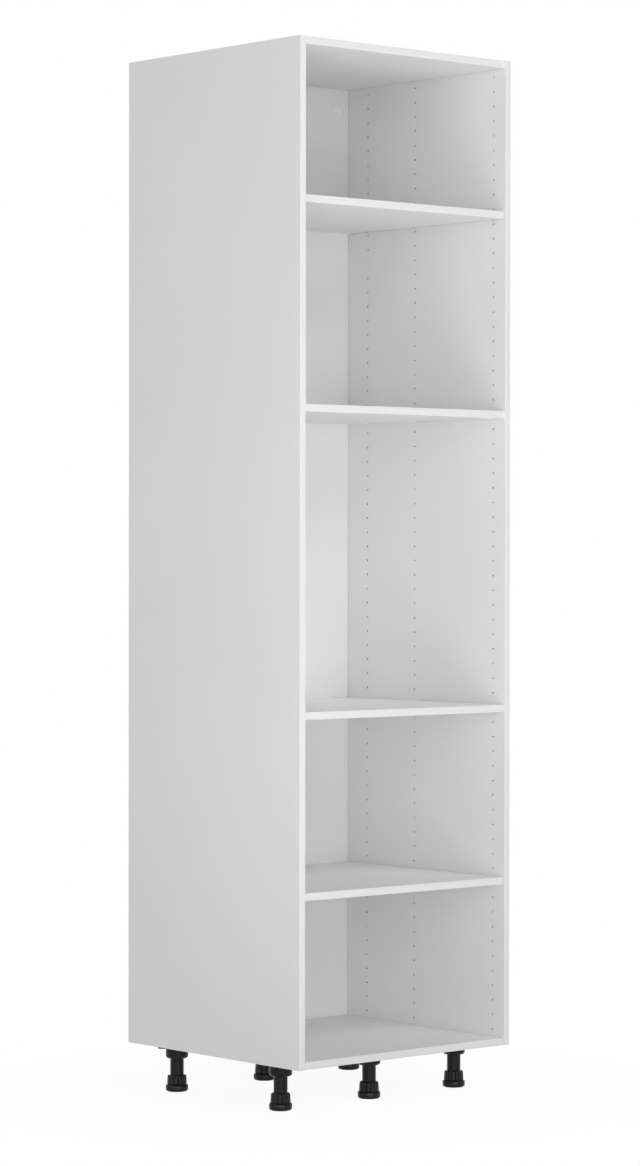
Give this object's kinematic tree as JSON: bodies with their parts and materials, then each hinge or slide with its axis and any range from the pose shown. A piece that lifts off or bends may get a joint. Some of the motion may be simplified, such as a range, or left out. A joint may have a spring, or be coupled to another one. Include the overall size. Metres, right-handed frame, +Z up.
{
  "type": "tall kitchen cabinet",
  "caption": "Tall open kitchen cabinet carcass with fixed and loose shelves, rows of system holes, a recessed back panel and adjustable feet.",
  "frame": {"origin": "on the floor, under the middle of the cabinet's width and depth", "axes": "+X to the right as seen from the front, +Y from the front to the rear, +Z up"},
  "size_m": [0.6, 0.58, 2.244],
  "materials": {
    "white_board": "white melamine-faced chipboard, fine matt",
    "white_band": "white edge band, fine matt",
    "beech": "plain beech",
    "white_plastic": "moulded, satin",
    "black_plastic": "moulded, satin",
    "zinc": "bright zinc"
  },
  "bodies": {
    "carcass": {"side_panel_left": "white_board", "side_panel_right": "white_board", "top_panel": "white_board", "bottom_panel": "white_board", "back_panel": "white_board", "fixed_shelf_upper": "white_board", "fixed_shelf_lower": "white_board", "edge_band_left": "white_band", "edge_band_right": "white_band", "edge_band_top": "white_band", "edge_band_bottom": "white_band", "edge_band_fixed_shelf_upper": "white_band", "edge_band_fixed_shelf_lower": "white_band", "connector_housings_upper": "white_plastic", "connector_bolts_upper": "zinc", "shelf_pins_upper": "zinc", "connector_housings_lower": "white_plastic", "connector_bolts_lower": "zinc", "shelf_pins_lower": "zinc", "dowels": "beech", "hanger_case_left": "zinc", "hanger_case_right": "zinc", "hanger_fixing_screws": "zinc", "foot_screws": "zinc", "foot_socket_front_left": "black_plastic", "foot_tube_front_left": "black_plastic", "foot_socket_front_middle": "black_plastic", "foot_tube_front_middle": "black_plastic", "foot_socket_front_right": "black_plastic", "foot_tube_front_right": "black_plastic", "foot_socket_rear_left": "black_plastic", "foot_tube_rear_left": "black_plastic", "foot_socket_rear_middle": "black_plastic", "foot_tube_rear_middle": "black_plastic", "foot_socket_rear_right": "black_plastic", "foot_tube_rear_right": "black_plastic"},
    "loose_shelf_upper": {"loose_shelf_upper": "white_board", "edge_band_loose_shelf_upper": "white_band"},
    "loose_shelf_lower": {"loose_shelf_lower": "white_board", "edge_band_loose_shelf_lower": "white_band"},
    "cap_left": {"access_cap_left": "white_plastic"},
    "hook_left": {"hanger_hook_left": "zinc"},
    "screw_left": {"hanger_screw_left": "zinc"},
    "cap_right": {"access_cap_right": "white_plastic"},
    "hook_right": {"hanger_hook_right": "zinc"},
    "screw_right": {"hanger_screw_right": "zinc"},
    "pad_front_left": {"foot_pad_front_left": "black_plastic"},
    "sleeve_front_left": {"foot_sleeve_front_left": "black_plastic"},
    "pad_front_middle": {"foot_pad_front_middle": "black_plastic"},
    "sleeve_front_middle": {"foot_sleeve_front_middle": "black_plastic"},
    "pad_front_right": {"foot_pad_front_right": "black_plastic"},
    "sleeve_front_right": {"foot_sleeve_front_right": "black_plastic"},
    "pad_rear_left": {"foot_pad_rear_left": "black_plastic"},
    "sleeve_rear_left": {"foot_sleeve_rear_left": "black_plastic"},
    "pad_rear_middle": {"foot_pad_rear_middle": "black_plastic"},
    "sleeve_rear_middle": {"foot_sleeve_rear_middle": "black_plastic"},
    "pad_rear_right": {"foot_pad_rear_right": "black_plastic"},
    "sleeve_rear_right": {"foot_sleeve_rear_right": "black_plastic"}
  },
  "joints": [
    {"name": "foot_height_front_left", "type": "slide", "parent": "carcass", "child": "pad_front_left", "axis": [0, 0, -1], "range_m": [-0.005, 0.02]},
    {"name": "sleeve_turn_front_left", "type": "hinge", "parent": "pad_front_left", "child": "sleeve_front_left", "pos_m": [-0.248, -0.168, 0.02], "axis": [0, 0, -1], "range_deg": [-451, 1801]},
    {"name": "foot_height_front_middle", "type": "slide", "parent": "carcass", "child": "pad_front_middle", "axis": [0, 0, -1], "range_m": [-0.005, 0.02]},
    {"name": "sleeve_turn_front_middle", "type": "hinge", "parent": "pad_front_middle", "child": "sleeve_front_middle", "pos_m": [0, -0.168, 0.02], "axis": [0, 0, -1], "range_deg": [-451, 1801]},
    {"name": "foot_height_front_right", "type": "slide", "parent": "carcass", "child": "pad_front_right", "axis": [0, 0, -1], "range_m": [-0.005, 0.02]},
    {"name": "sleeve_turn_front_right", "type": "hinge", "parent": "pad_front_right", "child": "sleeve_front_right", "pos_m": [0.248, -0.168, 0.02], "axis": [0, 0, -1], "range_deg": [-451, 1801]},
    {"name": "foot_height_rear_left", "type": "slide", "parent": "carcass", "child": "pad_rear_left", "axis": [0, 0, -1], "range_m": [-0.005, 0.02]},
    {"name": "sleeve_turn_rear_left", "type": "hinge", "parent": "pad_rear_left", "child": "sleeve_rear_left", "pos_m": [-0.248, 0.184, 0.02], "axis": [0, 0, -1], "range_deg": [-451, 1801]},
    {"name": "foot_height_rear_middle", "type": "slide", "parent": "carcass", "child": "pad_rear_middle", "axis": [0, 0, -1], "range_m": [-0.005, 0.02]},
    {"name": "sleeve_turn_rear_middle", "type": "hinge", "parent": "pad_rear_middle", "child": "sleeve_rear_middle", "pos_m": [0, 0.184, 0.02], "axis": [0, 0, -1], "range_deg": [-451, 1801]},
    {"name": "foot_height_rear_right", "type": "slide", "parent": "carcass", "child": "pad_rear_right", "axis": [0, 0, -1], "range_m": [-0.005, 0.02]},
    {"name": "sleeve_turn_rear_right", "type": "hinge", "parent": "pad_rear_right", "child": "sleeve_rear_right", "pos_m": [0.248, 0.184, 0.02], "axis": [0, 0, -1], "range_deg": [-451, 1801]},
    {"name": "hook_reach_left", "type": "slide", "parent": "carcass", "child": "hook_left", "axis": [0, 1, 0], "range_m": [0, 0.011]},
    {"name": "hanger_screw_turn_left", "type": "hinge", "parent": "carcass", "child": "screw_left", "pos_m": [-0.251, 0.2426, 2.18], "axis": [0, -1, 0], "range_deg": [-1, 3961]},
    {"name": "cap_pull_left", "type": "slide", "parent": "carcass", "child": "cap_left", "axis": [0, -1, 0], "range_m": [0, 0.012]},
    {"name": "hook_reach_right", "type": "slide", "parent": "carcass", "child": "hook_right", "axis": [0, 1, 0], "range_m": [0, 0.011]},
    {"name": "hanger_screw_turn_right", "type": "hinge", "parent": "carcass", "child": "screw_right", "pos_m": [0.251, 0.2426, 2.18], "axis": [0, -1, 0], "range_deg": [-1, 3961]},
    {"name": "cap_pull_right", "type": "slide", "parent": "carcass", "child": "cap_right", "axis": [0, -1, 0], "range_m": [0, 0.012]},
    {"name": "shelf_pull_upper", "type": "slide", "parent": "carcass", "child": "loose_shelf_upper", "axis": [0, -1, 0], "range_m": [0, 0.55]},
    {"name": "shelf_pull_lower", "type": "slide", "parent": "carcass", "child": "loose_shelf_lower", "axis": [0, -1, 0], "range_m": [0, 0.55]}
  ],
  "couplings": [
    {"joint": "sleeve_turn_front_left", "follows": "foot_height_front_left", "rad_per_m": 1570.8},
    {"joint": "sleeve_turn_front_middle", "follows": "foot_height_front_middle", "rad_per_m": 1570.8},
    {"joint": "sleeve_turn_front_right", "follows": "foot_height_front_right", "rad_per_m": 1570.8},
    {"joint": "sleeve_turn_rear_left", "follows": "foot_height_rear_left", "rad_per_m": 1570.8},
    {"joint": "sleeve_turn_rear_middle", "follows": "foot_height_rear_middle", "rad_per_m": 1570.8},
    {"joint": "sleeve_turn_rear_right", "follows": "foot_height_rear_right", "rad_per_m": 1570.8},
    {"joint": "hanger_screw_turn_left", "follows": "hook_reach_left", "rad_per_m": 6283.2},
    {"joint": "hanger_screw_turn_right", "follows": "hook_reach_right", "rad_per_m": 6283.2}
  ]
}
